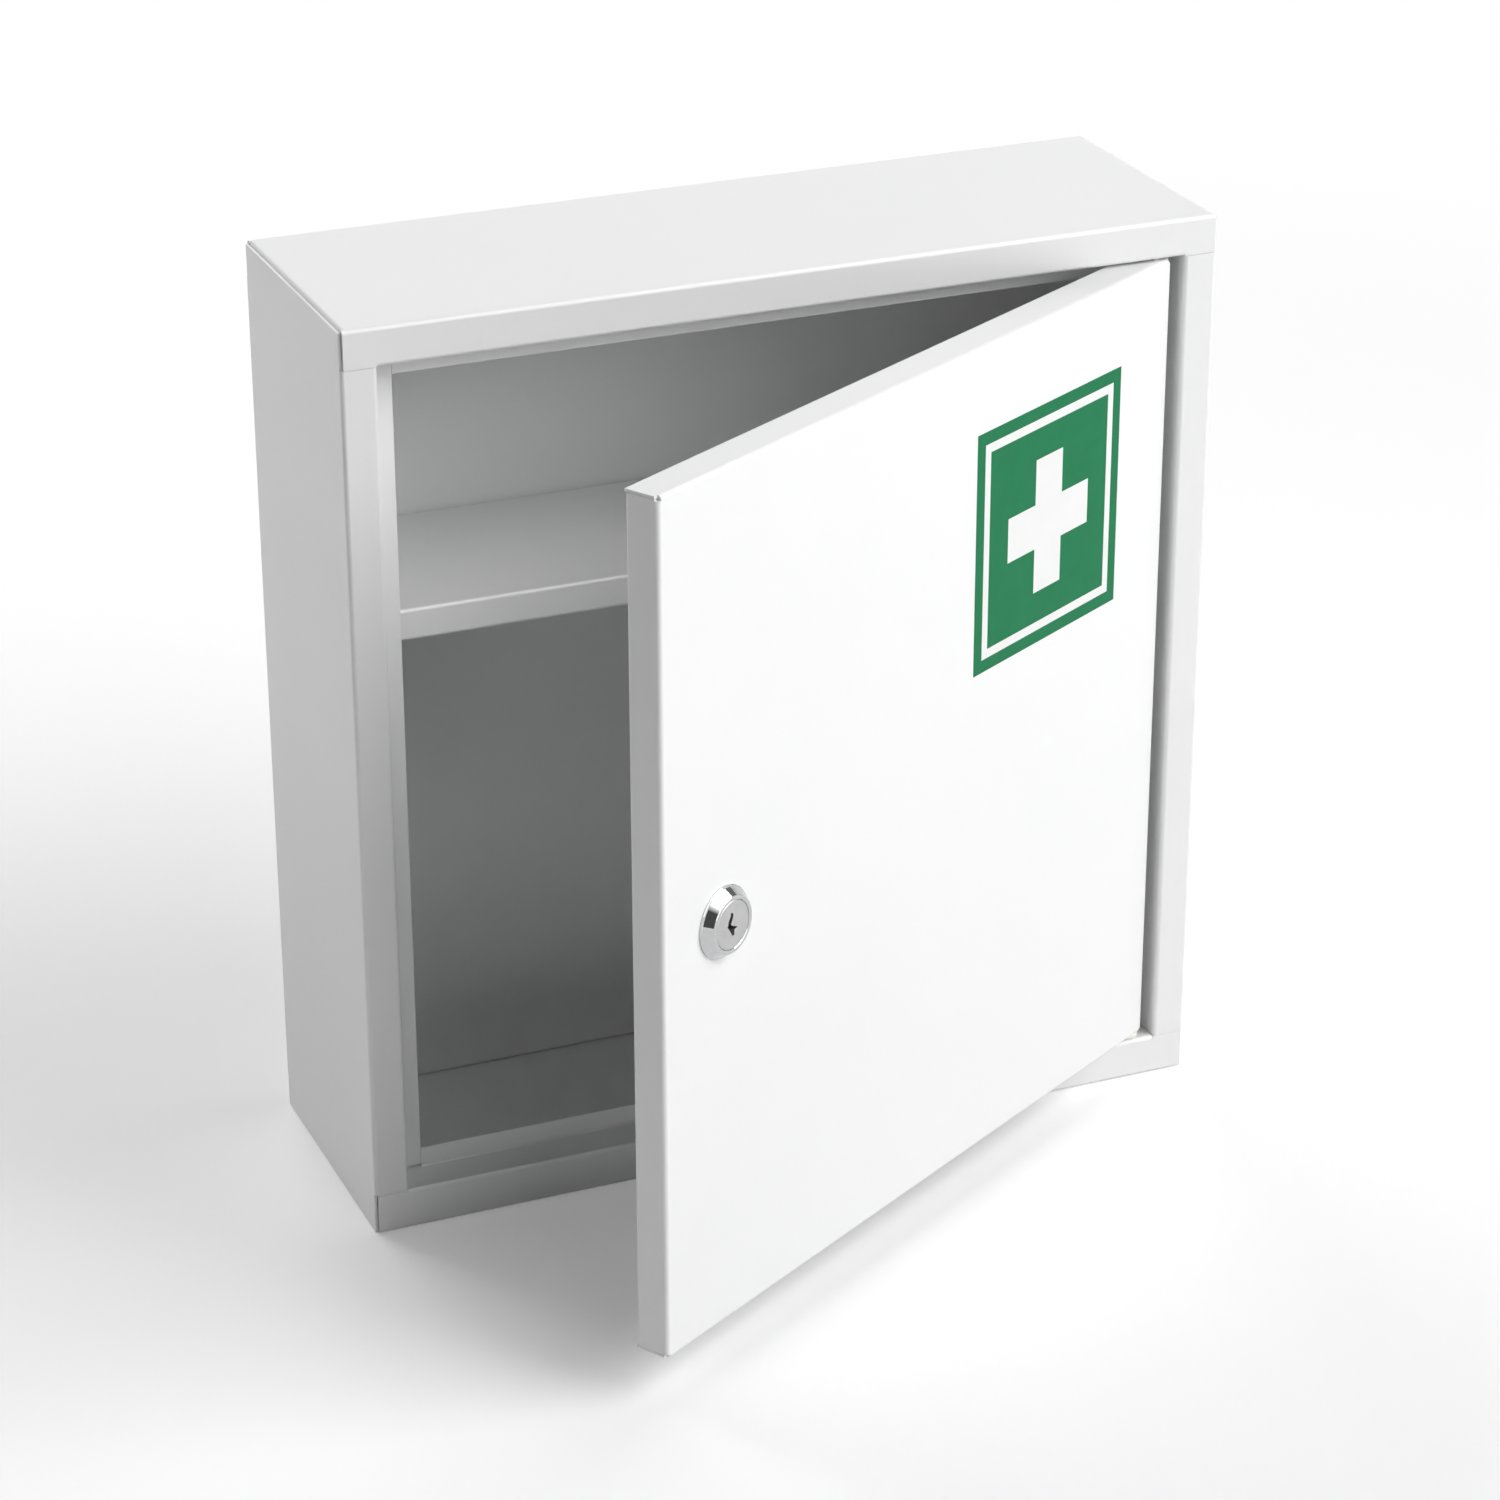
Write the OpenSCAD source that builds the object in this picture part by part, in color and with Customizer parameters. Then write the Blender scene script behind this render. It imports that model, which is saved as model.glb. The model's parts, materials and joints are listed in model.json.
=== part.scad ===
// Small wall cabinet of folded sheet steel with a shelf, a hinged pan door and a cam lock.
// Millimetres, +X right, +Y to the wall, +Z up. The origin is the middle of the base.

/* [Cabinet] */
// Width over the side panels
cabinet_w = 305; // [240:1:420]
// Height over the top and bottom panels
cabinet_h = 320; // [280:1:460]
// Depth from the front rails to the wall
cabinet_d = 100; // [85:1:180]
// Thickness of the sheet steel
sheet_t = 1; // [0.8:0.1:1.2]
// Inside radius of every fold
fold_r = 0.5; // [0.3:0.1:0.8]
// Gap left between two sheets that meet edge to edge
seam = 0.1; // [0.1:0.05:0.3]

/* [Front frame] */
// Width of the stile beside the door, on both sides
stile_w = 12; // [10:0.5:20]
// Height of the rail above the door
top_rail_h = 13; // [10:0.5:25]
// Height of the rail below the door
bottom_rail_h = 14.5; // [10:0.5:25]
// Depth of the rebate, from the front of the frame to the face of the door stop
recess_d = 14; // [13.5:0.5:18]
// Width of the door stop at the sides
side_stop_w = 9; // [6:0.5:12]
// Height of the door stop along the top
top_stop_h = 8; // [5:0.5:12]
// Height of the door stop along the bottom
bottom_stop_h = 7; // [5:0.5:12]

/* [Rear] */
// Width of the flanges that the back panel is welded to
rear_flange = 12; // [8:1:20]
// Height of the flanges that join the top and bottom panels to the side panels
end_flange = 10; // [6:1:16]
// Diameter of the wall screw holes
wall_hole_d = 6; // [4:0.5:8]
// Distance between the wall screw holes, side to side
wall_hole_span_x = 220; // [100:5:280]
// Distance between the wall screw holes, up and down
wall_hole_span_z = 240; // [100:5:240]

/* [Shelf] */
// Height of the top of the shelf above the base
shelf_z = 217.5; // [80:0.5:270]
// Distance from the back of the door stop to the front of the shelf
shelf_setback = 2; // [1:0.5:20]
// Height of the front lip
shelf_lip = 11; // [8:0.5:16]
// Depth of the hem folded back under the front lip
shelf_hem = 6; // [4:0.5:10]
// Height of the rear lip
shelf_rear_lip = 8; // [5:0.5:14]
// Gap around the loose shelf
shelf_gap = 0.4; // [0.2:0.1:0.8]
// Width of both legs of the shelf brackets
bracket_w = 12; // [8:1:20]

/* [Door] */
// Angle that the door stands open at rest
door_open = 30; // [0:1:120]
// Depth of the door pan
door_t = 12.5; // [10:0.5:13]
// Gap between the door and the stile at the lock
door_gap_lock = 1.5; // [1:0.25:3]
// Gap between the door and the stile at the hinge
door_gap_hinge = 5; // [5:0.25:8]
// Gap between the door and the top rail
door_gap_top = 1; // [0.75:0.25:3]
// Gap between the door and the bottom rail, which holds the pivot's collar and washer
door_gap_bottom = 2; // [1.6:0.1:3]
// Width of the flange folded in behind each upright edge of the door
door_return = 8; // [5:0.5:12]

/* [Hinge] */
// Distance of the hinge pins from the door's edge and from its front
hinge_inset = 4; // [3.8:0.1:4.2]
// Diameter of both hinge pins
pin_d = 3; // [2.5:0.1:3.5]
// Thickness of the upper pin's head and of the lower pin's rivet head
pin_head_t = 1.5; // [1:0.25:2.5]
// Diameter of the lower pin's collar
collar_d = 6.5; // [6:0.25:7]
// Thickness of the lower pin's collar
collar_t = 1; // [0.6:0.1:1.2]
// Diameter of the lower pin's neck in the bottom rail
neck_d = 3.6; // [3.4:0.1:4]
// Outer diameter of the nylon washer under the door
washer_d = 8; // [7:0.5:8]
// Length of the hinge blocks welded in the door
block_l = 12; // [8:0.5:20]
// Depth of the hinge blocks, front to back
block_w = 8; // [6:0.25:8.25]
// Height of the hinge blocks
block_h = 4; // [3:0.5:8]
// Length of pin that stands out past a hinge block
pin_past = 1; // [0.5:0.25:3]
// Gap all round a pin in its bore
pin_fit = 0.05; // [0.03:0.01:0.1]

/* [Lock body] */
// Distance of the lock's centre from the free edge of the door
lock_inset = 29.4; // [26:0.2:34]
// Height of the lock's centre above the lower edge of the door
lock_rise = 142; // [60:1:180]
// Diameter of the bezel on the door
bezel_d = 24; // [22:0.5:30]
// Height of the bezel above the door
bezel_h = 3.9; // [3:0.1:5]
// Thickness of the bezel's rim
bezel_rim = 0.5; // [0.4:0.1:1]
// Diameter of the flat ring at the front of the bezel
bezel_ring_d = 19.2; // [17.8:0.1:20]
// Diameter of the threaded body
lock_body_d = 18; // [17.5:0.1:19]
// Width of the threaded body over its two flats
lock_flats = 16; // [15.5:0.1:16.5]
// Length of the body from the front of the door to the stop washer
lock_body_l = 16; // [15:0.5:20]
// Width of the nut over its flats
nut_flats = 22; // [21:0.5:26]
// Thickness of the nut
nut_t = 4; // [3:0.5:5]
// Diameter of the toothed washer under the nut
tooth_washer_d = 24; // [23:0.5:26]
// Thickness of the toothed washer
tooth_washer_t = 0.6; // [0.4:0.1:1]

/* [Lock plug and cam] */
// Diameter of the plug's head
plug_head_d = 16.2; // [15:0.1:16.4]
// Thickness of the plug's head
plug_head_t = 2.3; // [1.5:0.1:2.5]
// Diameter of the plug
plug_d = 12; // [11.5:0.1:12.5]
// Gap all round the plug in the lock body, and at both of its ends
plug_fit = 0.05; // [0.03:0.01:0.1]
// Thickness of one wafer
wafer_t = 0.8; // [0.6:0.05:1]
// Distance from one wafer to the next
wafer_pitch = 2; // [1.8:0.05:2.2]
// Number of wafers
wafer_count = 5; // [3:1:5]
// Thickness of the stop washer
stop_t = 1; // [0.8:0.1:1.5]
// Angle that the lock turns through
lock_turn = 90; // [45:5:90]
// Width of the square that drives the cam
drive_w = 7; // [6:0.25:7.5]
// Distance from the lock's centre to the tip of the cam
cam_l = 28; // [26:0.5:30]
// Width of the cam at the lock
cam_w = 15; // [14:0.5:18]
// Width of the cam at its tip
cam_tip_w = 10; // [8:0.5:14]
// Thickness of the cam
cam_t = 2; // [1.5:0.25:3]
// Diameter of the cam's screw
screw_d = 4; // [3:0.5:4]

/* [Hidden] */
$fn = 64;
paint = "whitesmoke";
steel = "lightgray";
zinc = "silver";
chrome = "gainsboro";
nylon = "ivory";

half_t = sheet_t / 2;
fold_mid = fold_r + half_t;
fold_out = fold_r + sheet_t;
cut = 1; // how far a cutter stands out of what it cuts

// Cabinet
half_w = cabinet_w / 2;
front_y = -cabinet_d / 2;
rear_y = cabinet_d / 2;
stop_y = front_y + recess_d;
stop_back_y = stop_y + sheet_t;
opening_x = half_w - stile_w;
opening_top = cabinet_h - top_rail_h;
panel_end = half_w - sheet_t - seam;
back_y = rear_y - 2 * sheet_t;
stop_end = opening_x - side_stop_w - seam;
flange_front = front_y + fold_out + seam;
flange_rear = back_y - seam;
stop_relief = 0.9; // from the rails to the ends of the door stops at the sides

// Shelf
shelf_front = stop_back_y + shelf_setback;
shelf_rear = back_y - shelf_gap;
bracket_front = shelf_front + shelf_hem + shelf_gap;
bracket_rear = shelf_rear - fold_out - shelf_gap;

// Door, as it stands when closed
door_left = -opening_x + door_gap_lock;
door_right = opening_x - door_gap_hinge;
door_bottom = bottom_rail_h + door_gap_bottom;
door_top = opening_top - door_gap_top;
door_back = front_y + door_t;
hinge_x = door_right - hinge_inset;
hinge_y = front_y + hinge_inset;
pin_head_r = hinge_inset - fold_out - seam; // clears the fold inside the rail
washer_t = door_gap_bottom - collar_t - pin_fit;

// Lock, along its axis from the front of the door inward
bezel_front = -bezel_h;
plug_sunk = 0.15; // from the bezel's ring back to the face of the plug
plug_face = bezel_front + plug_sunk;
plug_seat = plug_face + plug_head_t;
ring_chamfer = 0.2; // breaks the edges of the bezel's ring and of the plug's head
rim_step = 0.2; // one step of the two that round off the bezel's rim
lock_x = door_left + lock_inset;
lock_z = door_bottom + lock_rise;
lock_hole_gap = 0.1; // all round the lock body, in the door and in the toothed washer
seat_fit = 0.05; // all round the nut's thread, the plug's square and the screw
groove_depth = 0.8; // of the grooves in the bore that the ends of the wafers run in
stop_front = lock_body_l + plug_fit;
cam_front = stop_front + stop_t;
cam_back = cam_front + cam_t;
drive_end = cam_back - 0.2; // the square ends inside the cam, which the screw clamps
spring_washer_t = 0.8;
spring_washer_d = 9;
screw_seat = cam_back + spring_washer_t;
screw_l = 10;
screw_hole_past = 0.5; // depth of the screw's hole past its tip
stop_disc_d = plug_d + 2.4;
stop_ear = 20; // angle that the stop washer's ear spans

// Wafers: each has a key hole, and a notch at its left side for its spring
wafer_first = 1;
wafer_half_w = 3.8;
wafer_slack = 0.05;
key_hole_low = [-1.9, -3.8];
key_hole_high = [2.3, 3.8];
notch_x = -2.9;
notch_half_l = 1.6;
spring_x = -3.4;
spring_half_l = 1.4;
spring_d = 0.7;
keyway_end = wafer_first + (wafer_count - 1) * wafer_pitch + wafer_t;

// Places a section drawn as [y, z] between two planes of x
module along_x(x0, x1) translate([x0, 0, 0]) rotate([90, 0, 90]) linear_extrude(x1 - x0) children();

// Places a section drawn as [x, z] between two planes of y
module along_y(y0, y1) translate([0, y1, 0]) rotate([90, 0, 0]) linear_extrude(y1 - y0) children();

// Places a section drawn as [x, y] between two planes of z
module along_z(z0, z1) translate([0, 0, z0]) linear_extrude(z1 - z0) children();

// Rectangle between two corners
module rect(low, high) translate(low) square(high - low);

// Straight stretch of a folded sheet, between two points of its middle plane
module flat(from, to) {
    low = [min(from[0], to[0]), min(from[1], to[1])];
    high = [max(from[0], to[0]), max(from[1], to[1])];
    side = high[0] - low[0] > high[1] - low[1] ? [0, half_t] : [half_t, 0];
    rect(low - side, high + side);
}

// Quarter bend of a folded sheet round a corner of its middle plane
module bend(corner, way_in, way_out) {
    outward = way_in - way_out;
    translate(corner - fold_mid * outward)
        intersection() {
            difference() {
                circle(fold_out);
                circle(fold_r);
            }
            translate([outward[0] > 0 ? 0 : -fold_out, outward[1] > 0 ? 0 : -fold_out])
                square(fold_out);
        }
}

// Section of a folded sheet: path holds the corners of its middle plane, all of them square
module folded_section(path) {
    last = len(path) - 1;
    ways = [for (i = [0 : last - 1]) (path[i + 1] - path[i]) / norm(path[i + 1] - path[i])];
    for (i = [0 : last - 1]) {
        from = path[i] + ways[i] * (i == 0 ? 0 : fold_mid);
        to = path[i + 1] - ways[i] * (i == last - 1 ? 0 : fold_mid);
        if (norm(to - from) > 0.01) flat(from, to);
    }
    for (i = [1 : last - 1]) bend(path[i], ways[i - 1], ways[i]);
}

// Left and right copies of something drawn on the right
module both_sides() {
    children();
    mirror([1, 0, 0]) children();
}

// Turns what is drawn on the closed door to where the open door stands
module in_door()
    translate([hinge_x, hinge_y, 0])
        rotate([0, 0, door_open])
            translate([-hinge_x, -hinge_y, 0])
                children();

// Lock axis: local z runs inward from the front of the door, local y runs down
module at_lock() in_door() translate([lock_x, front_y, lock_z]) rotate([-90, 0, 0]) children();

// Upright hole or pin on the hinge axis
module at_hinge(z) translate([hinge_x, hinge_y, z]) children();

// Bottom panel with its front rail, ledge and door stop, all folded from one sheet
module rail_panel(rail_h, stop_h) {
    rail_y = front_y + half_t;
    ledge_z = rail_h - half_t;
    bend_x = panel_end - fold_out;
    along_x(-bend_x, bend_x)
        folded_section([[rear_y - half_t, rear_flange], [rear_y - half_t, half_t], [rail_y, half_t],
            [rail_y, rail_h - fold_out]]);
    along_x(-opening_x, opening_x)
        folded_section([[rail_y, rail_h - fold_out], [rail_y, ledge_z],
            [stop_back_y - fold_out, ledge_z]]);
    along_x(-stop_end, stop_end)
        folded_section([[stop_back_y - fold_out, ledge_z], [stop_y + half_t, ledge_z],
            [stop_y + half_t, rail_h + stop_h]]);
    both_sides() {
        along_x(bend_x, panel_end)
            folded_section([[flange_front, half_t], [rail_y, half_t], [rail_y, rail_h - fold_out]]);
        along_x(bend_x, panel_end)
            folded_section([[rear_y - half_t, rear_flange], [rear_y - half_t, half_t],
                [flange_rear, half_t]]);
        along_y(flange_front, flange_rear)
            folded_section([[bend_x, half_t], [panel_end - half_t, half_t],
                [panel_end - half_t, end_flange]]);
        along_x(opening_x, panel_end)
            rect([front_y, rail_h - fold_out], [front_y + sheet_t, rail_h]);
        along_x(stop_end, opening_x)
            rect([stop_back_y - fold_out, rail_h - sheet_t], [stop_back_y, rail_h]);
    }
}

module bottom_panel()
    color(paint)
        difference() {
            rail_panel(bottom_rail_h, bottom_stop_h);
            at_hinge(bottom_rail_h - sheet_t - cut)
                cylinder(d = neck_d + 2 * pin_fit, h = sheet_t + 2 * cut);
        }

module top_panel()
    color(paint)
        difference() {
            translate([0, 0, cabinet_h]) mirror([0, 0, 1]) rail_panel(top_rail_h, top_stop_h);
            at_hinge(opening_top - cut)
                cylinder(d = pin_d + 2 * pin_fit, h = sheet_t + 2 * cut);
        }

// Right side panel, with its stile and door stop in front and its flange behind. Its flat
// ends where its folds begin, and a sheet's thickness below the top of the cabinet
module side_panel() {
    fold_z0 = bottom_rail_h + seam;
    fold_z1 = opening_top - seam;
    rear_z0 = rear_flange + seam;
    rear_z1 = cabinet_h - rear_flange - seam;
    plate_x = half_w - half_t;
    return_x = opening_x + half_t;
    stop_fold = [return_x, stop_y + half_t];
    return_end = stop_fold - [0, fold_mid];
    color(paint) {
        along_z(0, cabinet_h - sheet_t)
            rect([half_w - sheet_t, front_y + fold_out], [half_w, rear_y - fold_out]);
        along_z(fold_z0, fold_z1)
            folded_section([[plate_x, front_y + fold_out], [plate_x, front_y + half_t],
                [return_x, front_y + half_t], return_end]);
        along_z(bottom_rail_h + stop_relief, opening_top - stop_relief)
            folded_section([return_end, stop_fold, [opening_x - side_stop_w, stop_y + half_t]]);
        along_z(rear_z0, rear_z1)
            folded_section([[plate_x, rear_y - fold_out], [plate_x, rear_y - half_t],
                [half_w - rear_flange, rear_y - half_t]]);
    }
}

module right_side_panel() side_panel();

module left_side_panel() mirror([1, 0, 0]) side_panel();

// Flat sheet welded to the front of the rear flanges, with four holes for wall screws
module back_panel() {
    edge = fold_out + seam;
    color(paint)
        difference() {
            along_y(back_y, back_y + sheet_t)
                rect([-half_w + edge, edge], [half_w - edge, cabinet_h - edge]);
            for (x = [-1, 1], z = [-1, 1])
                translate([x * wall_hole_span_x / 2, back_y - cut, (cabinet_h + z * wall_hole_span_z) / 2])
                    rotate([-90, 0, 0])
                        cylinder(d = wall_hole_d, h = sheet_t + 2 * cut);
        }
}

module shelf() {
    shelf_end = half_w - sheet_t - shelf_gap;
    lip_y = shelf_front + half_t;
    hem_z = shelf_z - shelf_lip + half_t;
    deck_z = shelf_z - half_t;
    color(paint)
        along_x(-shelf_end, shelf_end)
            folded_section([[shelf_front + shelf_hem, hem_z], [lip_y, hem_z], [lip_y, deck_z],
                [shelf_rear - half_t, deck_z], [shelf_rear - half_t, shelf_z - shelf_rear_lip]]);
}

// Angle welded to the right side panel, which the shelf lies on
module shelf_bracket() {
    leg_x = half_w - sheet_t - half_t;
    seat_z = shelf_z - sheet_t;
    color(paint)
        along_y(bracket_front, bracket_rear)
            folded_section([[leg_x, seat_z - bracket_w], [leg_x, seat_z - half_t],
                [half_w - sheet_t - bracket_w, seat_z - half_t]]);
}

module right_shelf_bracket() shelf_bracket();

module left_shelf_bracket() mirror([1, 0, 0]) shelf_bracket();

// Pin with its head on top of the upper ledge, down into the door
module upper_hinge_pin() {
    pin_r = pin_d / 2;
    ledge_top = opening_top + sheet_t;
    pin_end = door_top - sheet_t - block_h - pin_past;
    tip = 0.4;
    color(zinc)
        at_hinge(0)
            rotate_extrude()
                polygon([[0, pin_end], [pin_r - tip, pin_end], [pin_r, pin_end + tip],
                    [pin_r, ledge_top], [pin_head_r, ledge_top],
                    [pin_head_r, ledge_top + pin_head_t - tip],
                    [pin_head_r - tip, ledge_top + pin_head_t], [0, ledge_top + pin_head_t]]);
}

// Pin riveted through the lower ledge, with a collar that carries the door
module lower_hinge_pin() {
    pin_r = pin_d / 2;
    collar_r = collar_d / 2;
    ledge_under = bottom_rail_h - sheet_t;
    head_end = ledge_under - pin_head_t;
    collar_top = bottom_rail_h + collar_t;
    pin_end = door_bottom + sheet_t + block_h + pin_past;
    tip = 0.4;
    color(zinc)
        at_hinge(0)
            rotate_extrude()
                polygon([[0, head_end], [pin_head_r - tip, head_end],
                    [pin_head_r, head_end + tip], [pin_head_r, ledge_under],
                    [neck_d / 2, ledge_under], [neck_d / 2, bottom_rail_h],
                    [collar_r, bottom_rail_h], [collar_r, collar_top], [pin_r, collar_top],
                    [pin_r, pin_end - tip], [pin_r - tip, pin_end], [0, pin_end]]);
}

// Nylon washer between the lower pin's collar and the door
module hinge_washer()
    color(nylon)
        at_hinge(bottom_rail_h + collar_t)
            difference() {
                cylinder(d = washer_d, h = washer_t);
                translate([0, 0, -cut]) cylinder(d = pin_d + 2 * pin_fit, h = washer_t + 2 * cut);
            }

// Outline of the lock body, with its two upright flats
module lock_outline(slack)
    intersection() {
        circle(d = lock_body_d + 2 * slack);
        rect([-lock_flats / 2 - slack, -lock_body_d], [lock_flats / 2 + slack, lock_body_d]);
    }

// Door folded from one sheet: skin, side flanges with returns, and top and bottom flanges
// that lap over the ends of the side flanges
module door_pan() {
    skin_y = front_y + half_t;
    return_y = door_back - half_t;
    side_z0 = door_bottom + sheet_t + seam;
    side_z1 = door_top - sheet_t - seam;
    color(paint)
        in_door()
            difference() {
                union() {
                    along_y(front_y, front_y + sheet_t)
                        rect([door_left + fold_out, door_bottom + fold_out],
                            [door_right - fold_out, door_top - fold_out]);
                    along_z(door_bottom + fold_out, door_top - fold_out) {
                        bend([door_left + half_t, skin_y], [-1, 0], [0, 1]);
                        bend([door_right - half_t, skin_y], [1, 0], [0, 1]);
                    }
                    along_z(side_z0, side_z1) {
                        folded_section([[door_left + half_t, front_y + fold_out],
                            [door_left + half_t, return_y], [door_left + door_return, return_y]]);
                        folded_section([[door_right - half_t, front_y + fold_out],
                            [door_right - half_t, return_y], [door_right - door_return, return_y]]);
                    }
                    along_x(door_left + fold_out, door_right - fold_out) {
                        bend([skin_y, door_bottom + half_t], [0, -1], [1, 0]);
                        bend([skin_y, door_top - half_t], [0, 1], [1, 0]);
                    }
                    for (z = [door_bottom, door_top - sheet_t])
                        along_z(z, z + sheet_t)
                            rect([door_left, front_y + fold_out], [door_right, door_back]);
                }
                for (z = [door_bottom, door_top - sheet_t])
                    at_hinge(z - cut) cylinder(d = pin_d + 2 * pin_fit, h = sheet_t + 2 * cut);
                translate([lock_x, front_y - cut, lock_z])
                    rotate([-90, 0, 0])
                        linear_extrude(sheet_t + 2 * cut) lock_outline(lock_hole_gap);
            }
}

// Steel block that stiffens a corner of the door where a hinge pin runs in it
module hinge_block(z) {
    corner = fold_out + seam;
    color(steel)
        in_door()
            difference() {
                translate([door_right - corner - block_l, front_y + corner, z])
                    cube([block_l, block_w, block_h]);
                at_hinge(z - cut) cylinder(d = pin_d + 2 * pin_fit, h = block_h + 2 * cut);
            }
}

module upper_hinge_block() hinge_block(door_top - sheet_t - block_h);

module lower_hinge_block() hinge_block(door_bottom + sheet_t);

// Sector of a ring, from one angle to another
module ring_sector(inner_d, outer_d, from, to, h)
    rotate([0, 0, from])
        rotate_extrude(angle = to - from)
            rect([inner_d / 2, 0], [outer_d / 2, h]);

// Lock body with its bezel, bored for the plug, with broached grooves for the wafers
// and a notch at the rear that the stop washer's ear turns in
module lock_housing() {
    bore_r = plug_d / 2 + plug_fit;
    head_bore_r = plug_head_d / 2 + plug_fit;
    head_floor = plug_seat + plug_fit;
    rear = cam_front - plug_fit;
    rear_bore_r = stop_disc_d / 2 + plug_fit;
    bezel_r = bezel_d / 2;
    ring_r = bezel_ring_d / 2;
    color(chrome)
        at_lock()
            difference() {
                union() {
                    rotate_extrude()
                        polygon([[bore_r, head_floor], [head_bore_r, head_floor],
                            [head_bore_r, bezel_front + ring_chamfer],
                            [head_bore_r + ring_chamfer, bezel_front],
                            [ring_r - ring_chamfer, bezel_front],
                            [ring_r, bezel_front + ring_chamfer],
                            [bezel_r - 3 * rim_step, -bezel_rim - 2 * rim_step],
                            [bezel_r - rim_step, -bezel_rim - rim_step], [bezel_r, -bezel_rim],
                            [bezel_r, 0], [bore_r, 0]]);
                    difference() {
                        linear_extrude(rear) lock_outline(0);
                        translate([0, 0, -cut]) cylinder(r = bore_r, h = rear + 2 * cut);
                    }
                }
                translate([0, 0, lock_body_l]) cylinder(r = rear_bore_r, h = stop_t + cut);
                translate([0, 0, lock_body_l])
                    ring_sector(plug_d, lock_body_d + cut, -180 + lock_turn / 2 - stop_ear,
                        -90 + lock_turn / 2 + stop_ear, stop_t + cut);
                for (turn = [0, lock_turn])
                    rotate([0, 0, turn])
                        translate([-wafer_half_w, -plug_d / 2 - groove_depth,
                                wafer_first - wafer_pitch / 2])
                            cube([2 * wafer_half_w, plug_d + 2 * groove_depth,
                                wafer_count * wafer_pitch]);
            }
}

// Toothed washer that bites the inside of the door
module lock_washer() {
    teeth = 16;
    tooth_l = 1;
    tooth_gap = 1.2;
    color(zinc)
        at_lock()
            translate([0, 0, sheet_t])
                linear_extrude(tooth_washer_t)
                    difference() {
                        circle(d = tooth_washer_d);
                        circle(d = lock_body_d + 2 * lock_hole_gap);
                        for (i = [0 : teeth - 1])
                            rotate(i * 360 / teeth)
                                translate([tooth_washer_d / 2 - tooth_l, -tooth_gap / 2])
                                    square([tooth_l + cut, tooth_gap]);
                    }
}

// Hexagon nut on the lock body, chamfered at the back
module lock_nut() {
    across = nut_flats / cos(30);
    rear_d = nut_flats - 1;
    color(zinc)
        at_lock()
            translate([0, 0, sheet_t + tooth_washer_t])
                difference() {
                    intersection() {
                        cylinder(d = across, h = nut_t, $fn = 6);
                        cylinder(d1 = across + 2 * nut_t, d2 = rear_d, h = nut_t);
                    }
                    translate([0, 0, -cut])
                        cylinder(d = lock_body_d + 2 * seat_fit, h = nut_t + 2 * cut);
                }
}

// Zigzag keyway in the face of the plug
module keyway_outline()
    polygon([[-0.9, -4.2], [0, -4.1], [0.25, -3.5], [0.2, -2.7], [-0.1, -1.9], [-0.7, -0.9],
        [-0.7, 0], [2.1, 1.3], [2, 1.8], [0.8, 1.8], [0.8, 3.5], [0.5, 3.9], [-0.1, 3.9],
        [-0.6, 3.1], [-1.6, 1.3], [-2.6, -0.1], [-2.15, -0.7], [-2.15, -1.4], [-1.7, -2.3],
        [-1, -3.1], [-0.85, -3.6]]);

// Plug: head, keyway, wafer slots, square for the cam and threaded hole for its screw
module lock_plug()
    color(chrome)
        at_lock()
            difference() {
                union() {
                    rotate_extrude()
                        polygon([[0, plug_face], [plug_head_d / 2 - ring_chamfer, plug_face],
                            [plug_head_d / 2, plug_face + ring_chamfer],
                            [plug_head_d / 2, plug_seat], [0, plug_seat]]);
                    translate([0, 0, plug_face]) cylinder(d = plug_d, h = stop_front - plug_face);
                    translate([-drive_w / 2, -drive_w / 2, stop_front - cut])
                        cube([drive_w, drive_w, drive_end - stop_front + cut]);
                }
                translate([0, 0, plug_face - cut])
                    linear_extrude(keyway_end - plug_face + cut) keyway_outline();
                for (i = [0 : wafer_count - 1])
                    translate([-wafer_half_w - wafer_slack, -plug_d,
                            wafer_first + i * wafer_pitch - wafer_t / 2 - wafer_slack])
                        cube([2 * (wafer_half_w + wafer_slack), 2 * plug_d,
                            wafer_t + 2 * wafer_slack]);
                translate([0, 0, screw_seat - screw_l - screw_hole_past])
                    cylinder(d = screw_d + 2 * seat_fit, h = screw_l + cut);
            }

// Spring-loaded wafers, each with its key hole at its own height
module wafer_tumblers() {
    heights = [0.3, -0.2, 0.1, -0.3, 0.2];
    color("khaki")
        at_lock()
            for (i = [0 : wafer_count - 1])
                translate([0, 0, wafer_first + i * wafer_pitch - wafer_t / 2])
                    linear_extrude(wafer_t)
                        difference() {
                            intersection() {
                                circle(d = plug_d - 0.2);
                                rect([-wafer_half_w, -plug_d], [wafer_half_w, plug_d]);
                            }
                            translate([0, heights[i]]) rect(key_hole_low, key_hole_high);
                            rect([-wafer_half_w - cut, -notch_half_l], [notch_x, notch_half_l]);
                        }
}

// Springs that push the wafers, one in the side notch of each
module wafer_springs()
    color(steel)
        at_lock()
            for (i = [0 : wafer_count - 1])
                translate([spring_x, spring_half_l, wafer_first + i * wafer_pitch])
                    rotate([90, 0, 0])
                        cylinder(d = spring_d, h = 2 * spring_half_l);

// Square hole that fits over the plug's square
module drive_hole() square(drive_w + 2 * seat_fit, center = true);

// Washer on the plug's square, whose ear ends the turn at each side
module stop_washer() {
    ear_d = lock_body_d - 0.4;
    ear_middle = -180 + lock_turn / 2;
    color(zinc)
        at_lock()
            translate([0, 0, stop_front])
                difference() {
                    union() {
                        cylinder(d = stop_disc_d, h = stop_t);
                        ring_sector(plug_d, ear_d, ear_middle - stop_ear / 2,
                            ear_middle + stop_ear / 2, stop_t);
                    }
                    translate([0, 0, -cut]) linear_extrude(stop_t + 2 * cut) drive_hole();
                }
}

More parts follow.
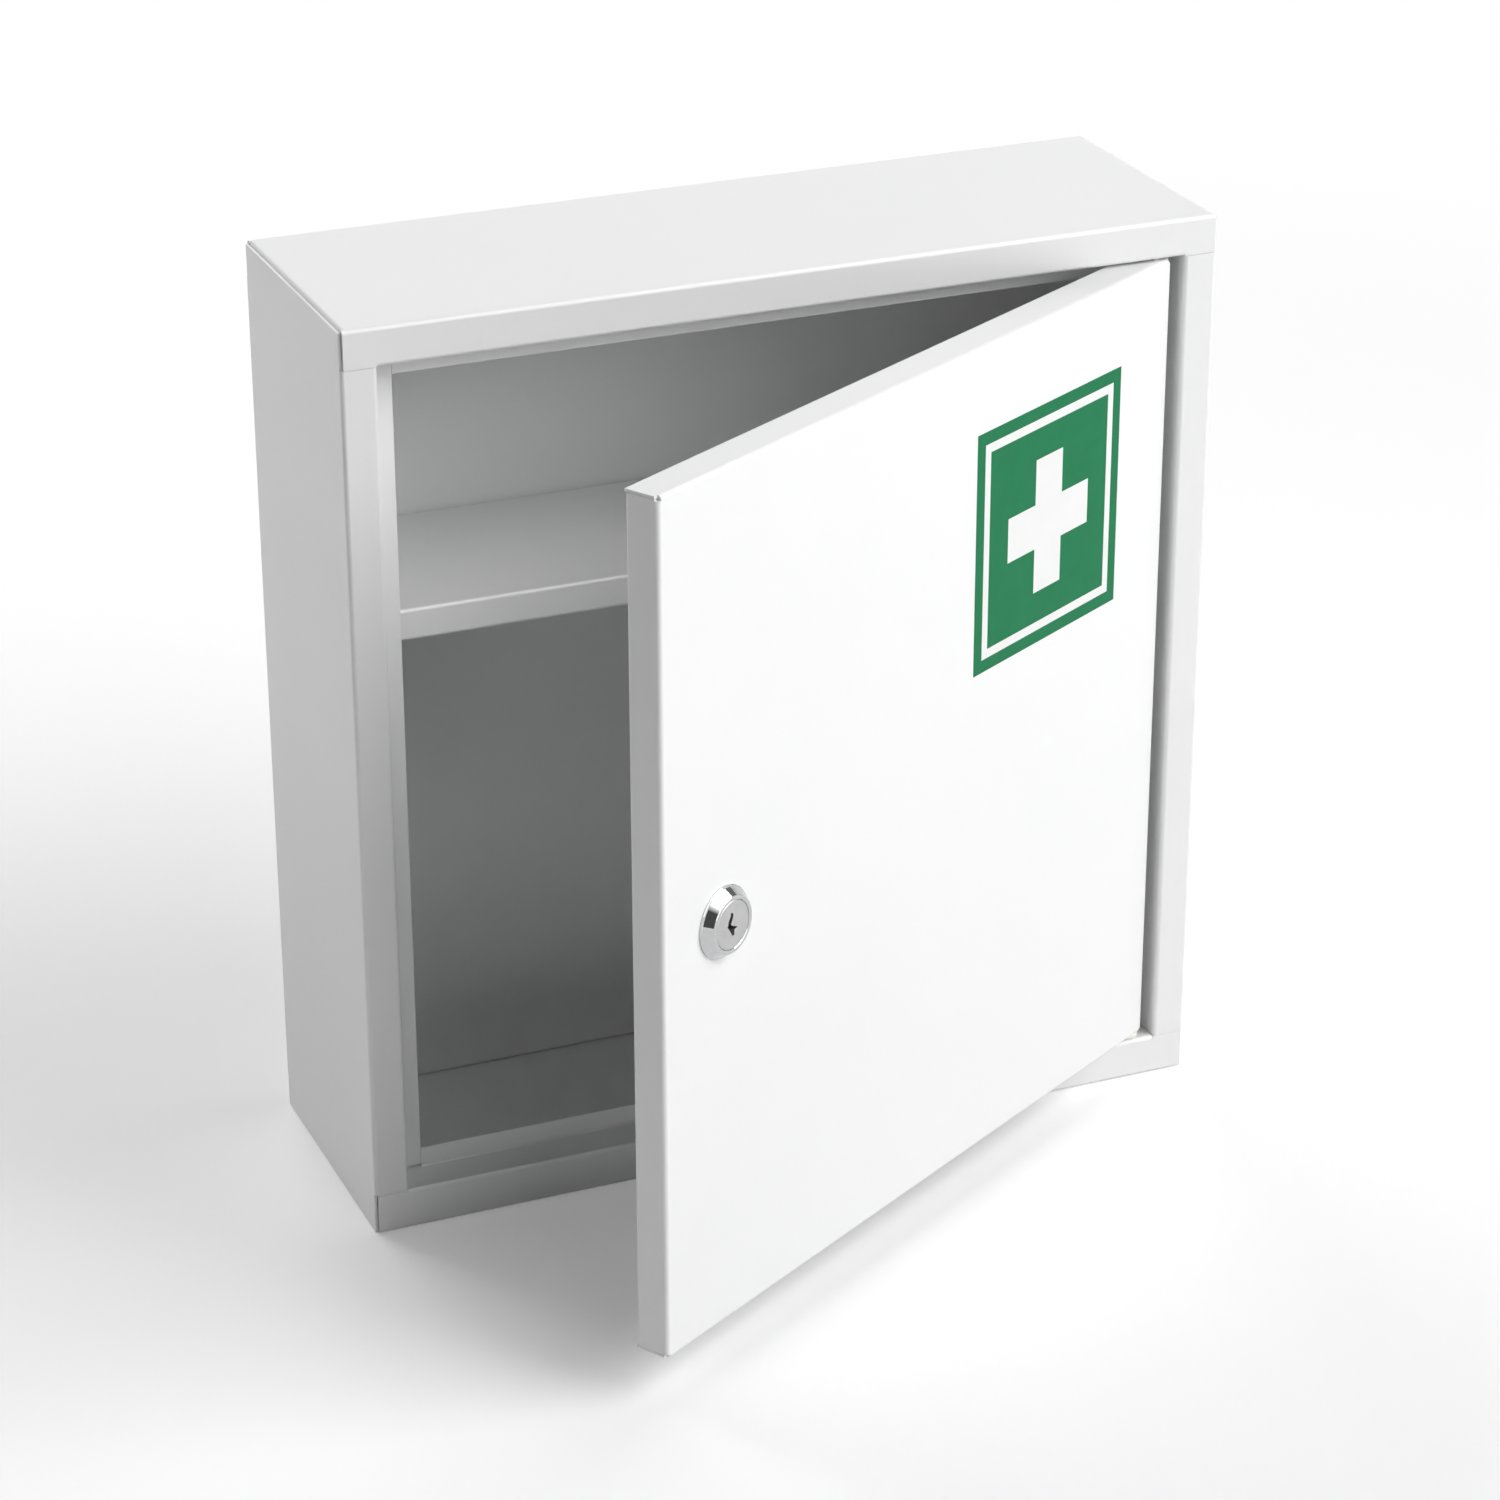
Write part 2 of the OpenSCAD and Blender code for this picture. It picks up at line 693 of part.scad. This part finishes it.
// Flat cam on the plug's square; it hangs down when the lock is open
module lock_cam()
    color(zinc)
        at_lock()
            translate([0, 0, cam_front])
                linear_extrude(cam_t)
                    difference() {
                        union() {
                            circle(d = cam_w);
                            polygon([[-cam_w / 2, 0], [cam_w / 2, 0],
                                [cam_tip_w / 2, cam_l - cam_tip_w / 2],
                                [-cam_tip_w / 2, cam_l - cam_tip_w / 2]]);
                            translate([0, cam_l - cam_tip_w / 2]) circle(d = cam_tip_w);
                        }
                        drive_hole();
                    }

// Split spring washer under the cam's screw
module cam_spring_washer() {
    bore_d = screw_d + 0.3;
    slit = 0.8;
    slit_angle = 20;
    color(zinc)
        at_lock()
            translate([0, 0, cam_back])
                linear_extrude(spring_washer_t)
                    difference() {
                        circle(d = spring_washer_d);
                        circle(d = bore_d);
                        rotate(slit_angle) translate([0, -slit / 2]) square([spring_washer_d, slit]);
                    }
}

// Pan head screw with a cross recess
module cam_screw() {
    screw_r = screw_d / 2;
    head_r = screw_d;
    head_h = 2.6;
    tip = 0.5;
    recess_w = 0.8;
    recess_depth = 1.5;
    color(zinc)
        at_lock()
            translate([0, 0, screw_seat])
                difference() {
                    rotate_extrude()
                        polygon([[0, -screw_l], [screw_r - tip, -screw_l], [screw_r, -screw_l + tip],
                            [screw_r, 0], [head_r, 0], [head_r, head_h * 0.5],
                            [head_r - 0.9, head_h * 0.9], [head_r - 2, head_h], [0, head_h]]);
                    for (turn = [45, 135])
                        rotate([0, 0, turn])
                            translate([-screw_r, -recess_w / 2, head_h - recess_depth])
                                cube([screw_d, recess_w, recess_depth + cut]);
                }
}

top_panel();
bottom_panel();
left_side_panel();
right_side_panel();
back_panel();
shelf();
left_shelf_bracket();
right_shelf_bracket();
upper_hinge_pin();
lower_hinge_pin();
hinge_washer();
door_pan();
upper_hinge_block();
lower_hinge_block();
lock_housing();
lock_washer();
lock_nut();
lock_plug();
wafer_tumblers();
wafer_springs();
stop_washer();
lock_cam();
cam_spring_washer();
cam_screw();
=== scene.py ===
import json
from math import cos, radians, sin

import bmesh
import bpy
from mathutils import Matrix, Vector


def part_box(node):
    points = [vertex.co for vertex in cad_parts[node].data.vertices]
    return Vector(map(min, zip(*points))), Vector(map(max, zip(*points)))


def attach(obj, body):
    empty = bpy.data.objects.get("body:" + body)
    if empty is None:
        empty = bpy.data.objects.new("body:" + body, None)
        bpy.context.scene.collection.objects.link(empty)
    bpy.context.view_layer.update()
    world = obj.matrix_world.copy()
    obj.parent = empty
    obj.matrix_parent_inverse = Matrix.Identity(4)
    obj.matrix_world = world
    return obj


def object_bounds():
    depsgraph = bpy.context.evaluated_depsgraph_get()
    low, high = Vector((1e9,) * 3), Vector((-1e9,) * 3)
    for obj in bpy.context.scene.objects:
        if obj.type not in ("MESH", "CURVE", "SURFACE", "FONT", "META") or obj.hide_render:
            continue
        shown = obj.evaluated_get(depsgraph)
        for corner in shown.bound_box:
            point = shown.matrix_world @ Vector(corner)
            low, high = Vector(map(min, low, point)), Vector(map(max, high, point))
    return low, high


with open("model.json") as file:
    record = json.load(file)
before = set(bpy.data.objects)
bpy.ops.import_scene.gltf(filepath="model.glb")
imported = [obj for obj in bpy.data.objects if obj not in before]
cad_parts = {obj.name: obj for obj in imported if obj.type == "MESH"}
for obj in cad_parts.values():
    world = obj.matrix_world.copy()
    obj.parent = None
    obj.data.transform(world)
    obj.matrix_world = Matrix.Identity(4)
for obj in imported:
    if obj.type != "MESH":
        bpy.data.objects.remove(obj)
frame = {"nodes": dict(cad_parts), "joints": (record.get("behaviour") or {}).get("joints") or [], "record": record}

MM = 0.001
WHITE = (1, 1, 1, 1)
BARE_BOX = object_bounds()

# Surroundings: how bright they are as light on the object, where 1 is white
WORLD_LIGHT = 0.042

# Floor: its side, how far it lies under the cabinet, its colour, its own glow where it is seen
# directly, and where it fades to white, as distances from the cabinet
FLOOR_SIDE = 12.0
FLOOR_BELOW = 0.1 * MM
FLOOR_COLOUR = (0.9, 0.9, 0.9, 1)
FLOOR_LIFT = 0.17
FLOOR_FADE = (0.5, 1.15)

# Softboxes, square, all at one distance from the cabinet's middle: name, direction from it,
# power, and whether glossy surfaces mirror them
SOFTBOX_DISTANCE = 2.2
SOFTBOX_SIDE = 1.6
SOFTBOXES = (
    ("key", (0.62, -0.50, 0.60), 41.0, True),
    ("front", (0.20, -0.80, 0.55), 9.9, True),
    ("back", (-0.2, 0.8, 0.6), 28.5, False),
    ("left", (-0.7, 0.5, 0.5), 5.0, False),
)

# Cards round the lock: name, direction from it, way the length lies, distance, size,
# brightness, brightness at the far end, and where along the length the change begins
CARDS = (
    ("card_front", (-0.39, -0.77, 0.45), (0.47, 0.27, 0.85), 0.45, (0.52, 0.4), 0.1, 1.6, 0.72),
    ("card_over", (0.33, -0.13, 0.85), (0.81, 0.86, -0.19), 1.1, (1.9, 0.9), 5.0, 5.0, 0.0),
    ("card_side", (0.75, 0.45, 0.42), (-0.13, 0.47, -0.89), 0.9, (0.8, 0.5), 0.2, 1.0, 0.5),
)

# Camera: the photograph's viewpoint, fitted to the cabinet's corners
CAMERA_PLACE = (-0.5288, -1.2751, 0.7598)
CAMERA_AZIMUTH = radians(22.71)
CAMERA_DOWN = radians(24.48)
CAMERA_ROLL = radians(-0.11)
CAMERA_LENS = 105.19
CAMERA_REACH = 50
SENSOR = 36.0

# The first aid sign, in the closed door's frame: x from its free edge, z from its lower edge
SIGN_SIDE = 83 * MM
SIGN_THICKNESS = 0.12 * MM
SIGN_MIDDLE = (203.8 * MM, 218.4 * MM)
SIGN_LINE = (4.4 * MM, 7.5 * MM)
CROSS_SPAN = 46.5 * MM
CROSS_ARM = 15.4 * MM

# Rounding of the sharp edges by slot: coat on sheet edges, tumbled or plated edges on metal
EDGE_ROUNDING = {
    "powder_coat": 0.16 * MM,
    "zinc": 0.08 * MM,
    "satin_nickel": 0.08 * MM,
    "brass": 0.03 * MM,
    "nylon": 0.1 * MM,
}
ROUNDING_STEPS = 2
WELD_DISTANCE = 0.001 * MM
FLAT_ANGLE = radians(0.5)
ROUNDED_ANGLE = radians(32)
SMOOTH_ANGLE = radians(38)
SHORT_EDGE = 2 * MM

# A noise node's factor keeps to about this range
NOISE_RANGE = (0.3, 0.7)

# Sockets of a colour mix, which share their names with its other kinds
MIX_FIRST = 6
MIX_SECOND = 7
MIX_RESULT = 2


def add_node(tree, kind, inputs=(), **settings):
    """One node with its settings and its inputs, which are values, or sockets to link."""
    node = tree.nodes.new(kind)
    for name, value in settings.items():
        setattr(node, name, value)
    for key, value in dict(inputs).items():
        if isinstance(value, bpy.types.NodeSocket):
            tree.links.new(value, node.inputs[key])
        else:
            node.inputs[key].default_value = value
    return node


def calculate(tree, operation, first, second):
    """The result of an operation on two values."""
    values = {0: first, 1: second}
    return add_node(tree, "ShaderNodeMath", values, operation=operation).outputs["Value"]


def remap(tree, value, low, high, start=0.0, end=1.0):
    """A value that runs from start to end, made to run from low to high."""
    values = {"Value": value, "From Min": start, "From Max": end, "To Min": low, "To Max": high}
    return add_node(tree, "ShaderNodeMapRange", values).outputs["Result"]


def noise(tree, place, size, detail=2.0, roughness=0.5, stretch=None):
    """Noise with features of about the given size, stretched along an axis if asked."""
    if stretch:
        mapping = add_node(tree, "ShaderNodeMapping", {"Vector": place, "Scale": stretch})
        place = mapping.outputs["Vector"]
    values = {"Vector": place, "Scale": 1 / size, "Detail": detail, "Roughness": roughness}
    return add_node(tree, "ShaderNodeTexNoise", values).outputs["Fac"]


def spread(tree, factor, low, high):
    """A noise factor spread to the range from low to high."""
    return remap(tree, factor, low, high, *NOISE_RANGE)


def blend_colours(tree, factor, first, second):
    """Two colours mixed by a factor."""
    values = {"Factor": factor, MIX_FIRST: (*first, 1), MIX_SECOND: (*second, 1)}
    return add_node(tree, "ShaderNodeMix", values, data_type="RGBA").outputs[MIX_RESULT]


def bump(tree, layers):
    """Bump from layers of (height factor, depth in metres), one on the other."""
    normal = None
    for height, depth in layers:
        values = {"Height": height, "Distance": depth}
        if normal:
            values["Normal"] = normal
        normal = add_node(tree, "ShaderNodeBump", values).outputs["Normal"]
    return normal


def empty_material(name):
    """A node material without nodes, and its tree."""
    material = bpy.data.materials.new(name)
    material.use_nodes = True
    material.node_tree.nodes.clear()
    return material, material.node_tree


def surface_material(name):
    """A material with its tree, its shader, whose result is its surface, and object coordinates."""
    material, tree = empty_material(name)
    shader = add_node(tree, "ShaderNodeBsdfPrincipled")
    add_node(tree, "ShaderNodeOutputMaterial", {"Surface": shader.outputs["BSDF"]})
    place = add_node(tree, "ShaderNodeTexCoord").outputs["Object"]
    return material, tree, shader, place


def powder_coat():
    """White semi-gloss powder coat: orange peel, a fine grain, and slightly uneven white."""
    material, tree, shader, place = surface_material("powder_coat_white")
    drift = spread(tree, noise(tree, place, size=0.09), 0, 1)
    white = blend_colours(tree, drift, (0.845, 0.850, 0.849), (0.860, 0.863, 0.859))
    peel = noise(tree, place, size=2.4 * MM, detail=1.0)
    grain = noise(tree, place, size=0.5 * MM, detail=1.0)
    gloss = spread(tree, noise(tree, place, size=0.03, detail=3.0), 0.28, 0.34)
    tree.links.new(white, shader.inputs["Base Color"])
    tree.links.new(gloss, shader.inputs["Roughness"])
    relief = bump(tree, [(peel, 0.02 * MM), (grain, 0.002 * MM)])
    tree.links.new(relief, shader.inputs["Normal"])
    return material


def plated_metal(name, colour, tint, gloss, depth, brush=None):
    """A plated metal whose colour and gloss drift a little. brush stretches its fine scratches."""
    material, tree, shader, place = surface_material(name)
    drift = spread(tree, noise(tree, place, size=4 * MM, detail=3.0), 0, 1)
    scratch = noise(tree, place, size=0.35 * MM, detail=4.0, roughness=0.6, stretch=brush)
    tree.links.new(blend_colours(tree, drift, colour, tint), shader.inputs["Base Color"])
    tree.links.new(spread(tree, scratch, *gloss), shader.inputs["Roughness"])
    tree.links.new(bump(tree, [(scratch, depth)]), shader.inputs["Normal"])
    shader.inputs["Metallic"].default_value = 1.0
    return material


def zinc():
    """Bright zinc plate with a faint blue cast and a slight mottle."""
    return plated_metal(
        "zinc_plate", colour=(0.62, 0.64, 0.67), tint=(0.70, 0.71, 0.71),
        gloss=(0.26, 0.42), depth=0.004 * MM)


def chrome():
    """Polished chrome plate."""
    return plated_metal(
        "chrome_plate", colour=(0.55, 0.555, 0.56), tint=(0.57, 0.575, 0.58),
        gloss=(0.04, 0.08), depth=0.0002 * MM)


def satin_nickel():
    """Satin nickel with a fine upright brushing."""
    return plated_metal(
        "satin_nickel", colour=(0.50, 0.50, 0.50), tint=(0.54, 0.54, 0.54),
        gloss=(0.28, 0.40), depth=0.002 * MM, brush=(1, 1, 0.08))


def brass():
    """Plain stamped brass."""
    return plated_metal(
        "plain_brass", colour=(0.74, 0.57, 0.29), tint=(0.80, 0.65, 0.36),
        gloss=(0.22, 0.34), depth=0.003 * MM)


def nylon():
    """Natural nylon, slightly see-through at its edges."""
    material, tree, shader, place = surface_material("natural_nylon")
    drift = spread(tree, noise(tree, place, size=3 * MM), 0, 1)
    white = blend_colours(tree, drift, (0.84, 0.83, 0.77), (0.89, 0.88, 0.83))
    gloss = spread(tree, noise(tree, place, size=1 * MM), 0.42, 0.5)
    tree.links.new(white, shader.inputs["Base Color"])
    tree.links.new(gloss, shader.inputs["Roughness"])
    shader.inputs["Subsurface Weight"].default_value = 0.2
    shader.inputs["Subsurface Scale"].default_value = 0.5 * MM
    return material


def printed_film(name, colour, tint):
    """Printed vinyl film: even ink with a very slight mottle under a smooth face."""
    material, tree, shader, place = surface_material(name)
    mottle = spread(tree, noise(tree, place, size=9 * MM, detail=3.0), 0, 1)
    gloss = spread(tree, noise(tree, place, size=5 * MM), 0.36, 0.42)
    waviness = noise(tree, place, size=6 * MM, detail=1.0)
    tree.links.new(blend_colours(tree, mottle, colour, tint), shader.inputs["Base Color"])
    tree.links.new(gloss, shader.inputs["Roughness"])
    tree.links.new(bump(tree, [(waviness, 0.01 * MM)]), shader.inputs["Normal"])
    shader.inputs["Specular IOR Level"].default_value = 0.12
    return material


def film_green():
    """The sign's green ink."""
    return printed_film("film_green", colour=(0.004, 0.170, 0.064), tint=(0.006, 0.182, 0.070))


def film_white():
    """The sign's white ink."""
    return printed_film("film_white", colour=(0.80, 0.808, 0.80), tint=(0.82, 0.826, 0.818))


def geometry_group(build):
    """A geometry group. build gets the group and its mesh, and returns the changed mesh."""
    group = bpy.data.node_groups.new(build.__name__, "GeometryNodeTree")
    for way in ("INPUT", "OUTPUT"):
        group.interface.new_socket("Geometry", in_out=way, socket_type="NodeSocketGeometry")
    mesh = add_node(group, "NodeGroupInput").outputs["Geometry"]
    add_node(group, "NodeGroupOutput", {"Geometry": build(group, mesh)})
    return group


def greater(tree, value, limit):
    """Whether a value is above a limit."""
    values = {"A": value, "B": limit}
    return add_node(tree, "FunctionNodeCompare", values, operation="GREATER_THAN").outputs["Result"]


def sharper_than(tree, angle):
    """Whether an edge turns by more than an angle."""
    turn = add_node(tree, "GeometryNodeInputMeshEdgeAngle").outputs["Unsigned Angle"]
    return greater(tree, turn, angle)


def weld(tree, mesh):
    """Joins a node's split corners and drops the normals that came with them."""
    values = {"Geometry": mesh, "Distance": WELD_DISTANCE}
    mesh = add_node(tree, "GeometryNodeMergeByDistance", values).outputs["Geometry"]
    for attribute in ("custom_normal", "sharp_edge", "sharp_face"):
        values = {"Geometry": mesh, "Name": attribute}
        mesh = add_node(tree, "GeometryNodeRemoveAttribute", values).outputs["Geometry"]
    return mesh


def mark_edges(tree, mesh):
    """Marks the edges to round: the long sharp ones, so none in the cusps where a fold ends."""
    ends = add_node(tree, "GeometryNodeInputMeshEdgeVertices")
    span = {0: ends.outputs["Position 1"], 1: ends.outputs["Position 2"]}
    length = add_node(tree, "ShaderNodeVectorMath", span, operation="DISTANCE").outputs["Value"]
    both = {0: sharper_than(tree, ROUNDED_ANGLE), 1: greater(tree, length, SHORT_EDGE)}
    chosen = add_node(tree, "FunctionNodeBooleanMath", both, operation="AND").outputs["Boolean"]
    values = {"Geometry": mesh, "Name": "bevel_weight_edge", "Value": chosen}
    kind = {"domain": "EDGE", "data_type": "FLOAT"}
    return add_node(tree, "GeometryNodeStoreNamedAttribute", values, **kind).outputs["Geometry"]


def shade_smooth(tree, mesh):
    """Shades a mesh smooth, apart from its sharp edges."""
    values = {"Geometry": mesh, "Shade Smooth": True}
    mesh = add_node(tree, "GeometryNodeSetShadeSmooth", values, domain="FACE").outputs["Geometry"]
    sharp = sharper_than(tree, SMOOTH_ANGLE)
    values = {"Geometry": mesh, "Selection": sharp, "Shade Smooth": False}
    return add_node(tree, "GeometryNodeSetShadeSmooth", values, domain="EDGE").outputs["Geometry"]


def add_group(piece, group):
    """Puts a geometry group on a piece."""
    piece.modifiers.new(group.name, "NODES").node_group = group


def round_edges(piece, slot, groups):
    """Rounded sharp edges that catch the light, on flat faces that stay flat."""
    add_group(piece, groups["weld"])
    flats = piece.modifiers.new("join_flats", "DECIMATE")
    flats.decimate_type = "DISSOLVE"
    flats.angle_limit = FLAT_ANGLE
    is_sheet = slot == "powder_coat"
    if is_sheet:
        add_group(piece, groups["mark_edges"])
    edges = piece.modifiers.new("round_edges", "BEVEL")
    edges.limit_method = "WEIGHT" if is_sheet else "ANGLE"
    edges.angle_limit = ROUNDED_ANGLE
    edges.width = EDGE_ROUNDING[slot]
    edges.segments = ROUNDING_STEPS
    edges.use_clamp_overlap = False
    add_group(piece, groups["shade_smooth"])
    normals = piece.modifiers.new("keep_flat", "WEIGHTED_NORMAL")
    normals.keep_sharp = True


def dress_nodes():
    """Gives each carried-over node its finish, and rounds the edges that its shape leaves sharp."""
    finishes = {
        "powder_coat": powder_coat(),
        "zinc": zinc(),
        "chrome": chrome(),
        "satin_nickel": satin_nickel(),
        "brass": brass(),
        "nylon": nylon(),
    }
    groups = {build.__name__: geometry_group(build) for build in (weld, mark_edges, shade_smooth)}
    for part in frame["record"]["subparts"]:
        piece = frame["nodes"][part["node"]]
        slot = part["material_slot"]
        for entry in piece.material_slots:
            entry.material = finishes[slot]
        if slot in EDGE_ROUNDING:
            round_edges(piece, slot, groups)


def closed_door():
    """The hinge pin, how far the resting door is open, and the closed door's free lower corner."""
    hinge = next(joint for joint in frame["joints"] if joint["name"] == "door_hinge")
    pin = Vector(hinge["pos_m"])
    opening = radians(-hinge["range_deg"][0])
    shut = Matrix.Rotation(-opening, 3, "Z")
    corners = [pin + shut @ (v.co - pin) for v in frame["nodes"]["door_pan"].data.vertices]
    return pin, opening, Vector(min(c[i] for c in corners) for i in range(3))


def sign_sheet():
    """The sign's flat face, cut along the edges of its line and its cross."""
    line_in = SIGN_SIDE / 2 - SIGN_LINE[1]
    line_out = SIGN_SIDE / 2 - SIGN_LINE[0]
    half = sorted({SIGN_SIDE / 2, line_out, line_in, CROSS_SPAN / 2, CROSS_ARM / 2})
    cuts = [-x for x in reversed(half)] + half

    def is_white(x, z):
        in_line = line_in < max(abs(x), abs(z)) < line_out
        in_cross = min(abs(x), abs(z)) < CROSS_ARM / 2 and max(abs(x), abs(z)) < CROSS_SPAN / 2
        return in_line or in_cross

    mesh = bmesh.new()
    rows = [[mesh.verts.new((x, 0, z)) for x in cuts] for z in cuts]
    for i in range(len(cuts) - 1):
        for j in range(len(cuts) - 1):
            face = mesh.faces.new((rows[i][j], rows[i][j + 1], rows[i + 1][j + 1], rows[i + 1][j]))
            centre = face.calc_center_median()
            face.material_index = int(is_white(centre.x, centre.z))
    data = bpy.data.meshes.new("first_aid_sign")
    mesh.to_mesh(data)
    mesh.free()
    return data


def first_aid_sign():
    """A thin printed film on the door's face: a white line and a white cross on green."""
    data = sign_sheet()
    data.materials.append(film_green())
    data.materials.append(film_white())
    sign = bpy.data.objects.new("first_aid_sign", data)
    bpy.context.scene.collection.objects.link(sign)
    thickness = sign.modifiers.new("thickness", "SOLIDIFY")
    thickness.thickness = SIGN_THICKNESS
    thickness.offset = 1
    pin, opening, corner = closed_door()
    turn = Matrix.Rotation(opening, 4, "Z")
    middle = corner + Vector((SIGN_MIDDLE[0], 0, SIGN_MIDDLE[1]))
    place = pin + turn.to_3x3() @ (middle - pin)
    sign.matrix_world = Matrix.Translation(place) @ turn
    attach(sign, "door")


def flat_grid(name, segments, size):
    """A flat grid of the given size about its own middle, with as many segments each way."""
    mesh = bmesh.new()
    bmesh.ops.create_grid(mesh, x_segments=segments, y_segments=segments, size=0.5)
    bmesh.ops.scale(mesh, vec=(*size, 1), verts=mesh.verts)
    data = bpy.data.meshes.new(name)
    mesh.to_mesh(data)
    mesh.free()
    return bpy.data.objects.new(name, data)


def glow(tree, strength):
    """A white glow, where a strength of 1 is white."""
    values = {"Color": WHITE, "Strength": strength}
    return add_node(tree, "ShaderNodeEmission", values).outputs["Emission"]


def seen_directly(tree):
    """1 for what the camera sees, also mirrored or through glass, and 0 for light on the object."""
    ray = add_node(tree, "ShaderNodeLightPath")
    seen = ray.outputs["Is Camera Ray"]
    for way in ("Is Glossy Ray", "Is Transmission Ray"):
        seen = calculate(tree, "MAXIMUM", seen, ray.outputs[way])
    return seen


def floor_white():
    """Matt white that keeps the shadows, looks a little brighter than lit, and fades to white."""
    material, tree = empty_material("floor_white")
    seen = seen_directly(tree)
    matt = add_node(tree, "ShaderNodeBsdfDiffuse", {"Color": FLOOR_COLOUR}).outputs["BSDF"]
    lift = glow(tree, calculate(tree, "MULTIPLY", seen, FLOOR_LIFT))
    near = add_node(tree, "ShaderNodeAddShader", {0: matt, 1: lift}).outputs["Shader"]
    place = add_node(tree, "ShaderNodeTexCoord").outputs["Object"]
    away = add_node(tree, "ShaderNodeVectorMath", {0: place}, operation="LENGTH").outputs["Value"]
    start, end = FLOOR_FADE
    fade = remap(tree, away, low=0.0, high=1.0, start=start, end=end)
    faded = calculate(tree, "MULTIPLY", seen, fade)
    far = glow(tree, strength=1.0)
    mix = add_node(tree, "ShaderNodeMixShader", {0: faded, 1: near, 2: far})
    add_node(tree, "ShaderNodeOutputMaterial", {"Surface": mix.outputs["Shader"]})
    return material


def floor():
    """A wide pale floor."""
    plane = flat_grid("floor", segments=8, size=(FLOOR_SIDE, FLOOR_SIDE))
    plane.location.z = BARE_BOX[0][2] - FLOOR_BELOW
    bpy.context.scene.collection.objects.link(plane)
    plane.data.materials.append(floor_white())


def studio_world():
    """Even surroundings: white where they are seen directly, and dimmer as light on the object."""
    world = bpy.data.worlds.new("studio")
    bpy.context.scene.world = world
    world.use_nodes = True
    tree = world.node_tree
    tree.nodes.clear()
    level = remap(tree, seen_directly(tree), low=WORLD_LIGHT, high=1.0)
    back = add_node(tree, "ShaderNodeBackground", {"Color": WHITE, "Strength": level})
    add_node(tree, "ShaderNodeOutputWorld", {"Surface": back.outputs["Background"]})


def aim(piece, place, way, side_on=None):
    """Puts a piece at a place with its -Z against the way, and its X along side_on if given."""
    back = Vector(way).normalized()
    across = Vector(side_on or back.to_track_quat("Z", "Y") @ Vector((1, 0, 0)))
    across = (across - back * across.dot(back)).normalized()
    turn = Matrix((across, back.cross(across), back)).transposed().to_4x4()
    piece.matrix_world = Matrix.Translation(place) @ turn
    bpy.context.scene.collection.objects.link(piece)


def softbox(name, direction, power, mirrored):
    """A square area lamp that faces the cabinet's middle."""
    lamp = bpy.data.lights.new(name, "AREA")
    lamp.size = SOFTBOX_SIDE
    lamp.energy = power
    piece = bpy.data.objects.new(name, lamp)
    piece.visible_glossy = mirrored
    middle = (Vector(BARE_BOX[0]) + Vector(BARE_BOX[1])) / 2
    aim(piece, middle + Vector(direction).normalized() * SOFTBOX_DISTANCE, direction)


def card_glow(name, bright, far_bright, change):
    """A glow that changes along a card's length, from where the change begins to its far end."""
    material, tree = empty_material(name)
    place = add_node(tree, "ShaderNodeTexCoord").outputs["Generated"]
    along = add_node(tree, "ShaderNodeSeparateXYZ", {"Vector": place}).outputs["X"]
    surface = glow(tree, remap(tree, along, bright, far_bright, start=change))
    add_node(tree, "ShaderNodeOutputMaterial", {"Surface": surface})
    return material


def card(name, direction, lie, distance, size, bright, far_bright, change):
    """A card that only glossy surfaces show. It faces the lock, whose bezel mirrors it."""
    piece = flat_grid(name, segments=2, size=size)
    piece.data.materials.append(card_glow(name, bright, far_bright, change))
    low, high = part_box("lock_plug")
    aim(piece, (low + high) / 2 + Vector(direction).normalized() * distance, direction, lie)
    piece.visible_camera = False
    piece.visible_diffuse = False
    piece.visible_shadow = False
    piece.visible_transmission = False


def camera():
    """The photograph's camera."""
    level = cos(CAMERA_DOWN)
    ahead = Vector((sin(CAMERA_AZIMUTH) * level, cos(CAMERA_AZIMUTH) * level, -sin(CAMERA_DOWN)))
    turn = ahead.to_track_quat("-Z", "Y").to_matrix().to_4x4()
    data = bpy.data.cameras.new("camera")
    data.lens = CAMERA_LENS
    data.sensor_width = SENSOR
    data.clip_end = CAMERA_REACH
    piece = bpy.data.objects.new("camera", data)
    roll = Matrix.Rotation(CAMERA_ROLL, 4, "Z")
    piece.matrix_world = Matrix.Translation(CAMERA_PLACE) @ turn @ roll
    bpy.context.scene.collection.objects.link(piece)
    bpy.context.scene.camera = piece


bpy.context.scene.view_settings.view_transform = "Standard"
camera()
floor()
studio_world()
for box in SOFTBOXES:
    softbox(*box)
for sheet in CARDS:
    card(*sheet)
dress_nodes()
first_aid_sign()
